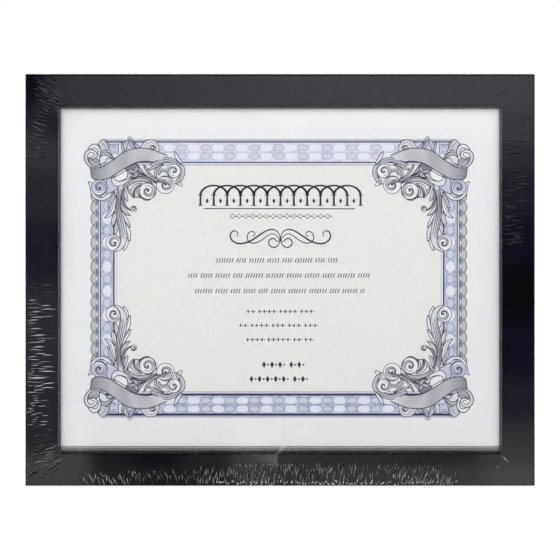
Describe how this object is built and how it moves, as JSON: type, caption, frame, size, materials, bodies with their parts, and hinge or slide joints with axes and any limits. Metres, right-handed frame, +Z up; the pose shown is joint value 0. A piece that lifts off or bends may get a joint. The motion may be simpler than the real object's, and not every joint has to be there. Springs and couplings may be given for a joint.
{
  "type": "certificate frame",
  "caption": "Landscape certificate frame with a black mitred moulding, glass, printed sheet, easel leg and wire hangers, in clear film.",
  "frame": {"origin": "middle of the lower edge's face, half way through the moulding, at the film's lowest face", "axes": "+X to the right and +Z up as seen from the front, +Y to the back; the front faces -Y"},
  "size_m": [0.3146, 0.0175, 0.2546],
  "materials": {
    "moulding": "satin",
    "glass": "polished",
    "paper": "matte",
    "corrugated_board": "matte",
    "hardboard": "smooth",
    "leg_hardboard": "painted matte",
    "zinc_steel": "zinc plated",
    "clear_film": "clear gloss"
  },
  "bodies": {
    "frame": {"rail_bottom": "moulding", "rail_left": "moulding", "rail_top": "moulding", "rail_right": "moulding", "corner_v_nails": "zinc_steel", "glass_pane": "glass", "certificate_sheet": "paper", "filler_pad": "corrugated_board", "backing_board": "hardboard", "hinge_leaf_board": "zinc_steel", "hinge_pin": "zinc_steel", "hinge_rivets_board": "zinc_steel", "hanger_strap_top": "zinc_steel", "hanger_strap_side": "zinc_steel", "hanger_rivets": "zinc_steel", "turn_button_screws": "zinc_steel", "shrink_film": "clear_film"},
    "easel_leg": {"easel_leg": "leg_hardboard", "hinge_leaf_leg": "zinc_steel", "hinge_rivets_leg": "zinc_steel"},
    "hanger_ring_top": {"hanger_ring_top": "zinc_steel"},
    "hanger_ring_side": {"hanger_ring_side": "zinc_steel"},
    "turn_button_top_left": {"turn_button_top_left": "zinc_steel"},
    "turn_button_top_right": {"turn_button_top_right": "zinc_steel"},
    "turn_button_bottom_left": {"turn_button_bottom_left": "zinc_steel"},
    "turn_button_bottom_right": {"turn_button_bottom_right": "zinc_steel"},
    "turn_button_left": {"turn_button_left": "zinc_steel"},
    "turn_button_right": {"turn_button_right": "zinc_steel"}
  },
  "joints": [
    {"name": "easel_hinge", "type": "hinge", "parent": "frame", "child": "easel_leg", "pos_m": [-0.01285, 0.00835, 0.17015], "axis": [0.7071, 0, 0.7071], "range_deg": [0, 35]},
    {"name": "hanger_top_swing", "type": "hinge", "parent": "frame", "child": "hanger_ring_top", "pos_m": [0, 0.0078, 0.2153], "axis": [1, 0, 0], "range_deg": [0, 170]},
    {"name": "hanger_side_swing", "type": "hinge", "parent": "frame", "child": "hanger_ring_side", "pos_m": [-0.118, 0.0078, 0.1273], "axis": [0, 0, 1], "range_deg": [0, 170]},
    {"name": "turn_button_top_left_turn", "type": "hinge", "parent": "frame", "child": "turn_button_top_left", "pos_m": [-0.08, 0.0065, 0.24395], "axis": [0, 1, 0], "range_deg": [-90, 90]},
    {"name": "turn_button_top_right_turn", "type": "hinge", "parent": "frame", "child": "turn_button_top_right", "pos_m": [0.08, 0.0065, 0.24395], "axis": [0, 1, 0], "range_deg": [-90, 90]},
    {"name": "turn_button_bottom_left_turn", "type": "hinge", "parent": "frame", "child": "turn_button_bottom_left", "pos_m": [-0.08, 0.0065, 0.01065], "axis": [0, 1, 0], "range_deg": [-90, 90]},
    {"name": "turn_button_bottom_right_turn", "type": "hinge", "parent": "frame", "child": "turn_button_bottom_right", "pos_m": [0.08, 0.0065, 0.01065], "axis": [0, 1, 0], "range_deg": [-90, 90]},
    {"name": "turn_button_left_turn", "type": "hinge", "parent": "frame", "child": "turn_button_left", "pos_m": [-0.14665, 0.0065, 0.1273], "axis": [0, 1, 0], "range_deg": [-90, 90]},
    {"name": "turn_button_right_turn", "type": "hinge", "parent": "frame", "child": "turn_button_right", "pos_m": [0.14665, 0.0065, 0.1273], "axis": [0, 1, 0], "range_deg": [-90, 90]}
  ]
}
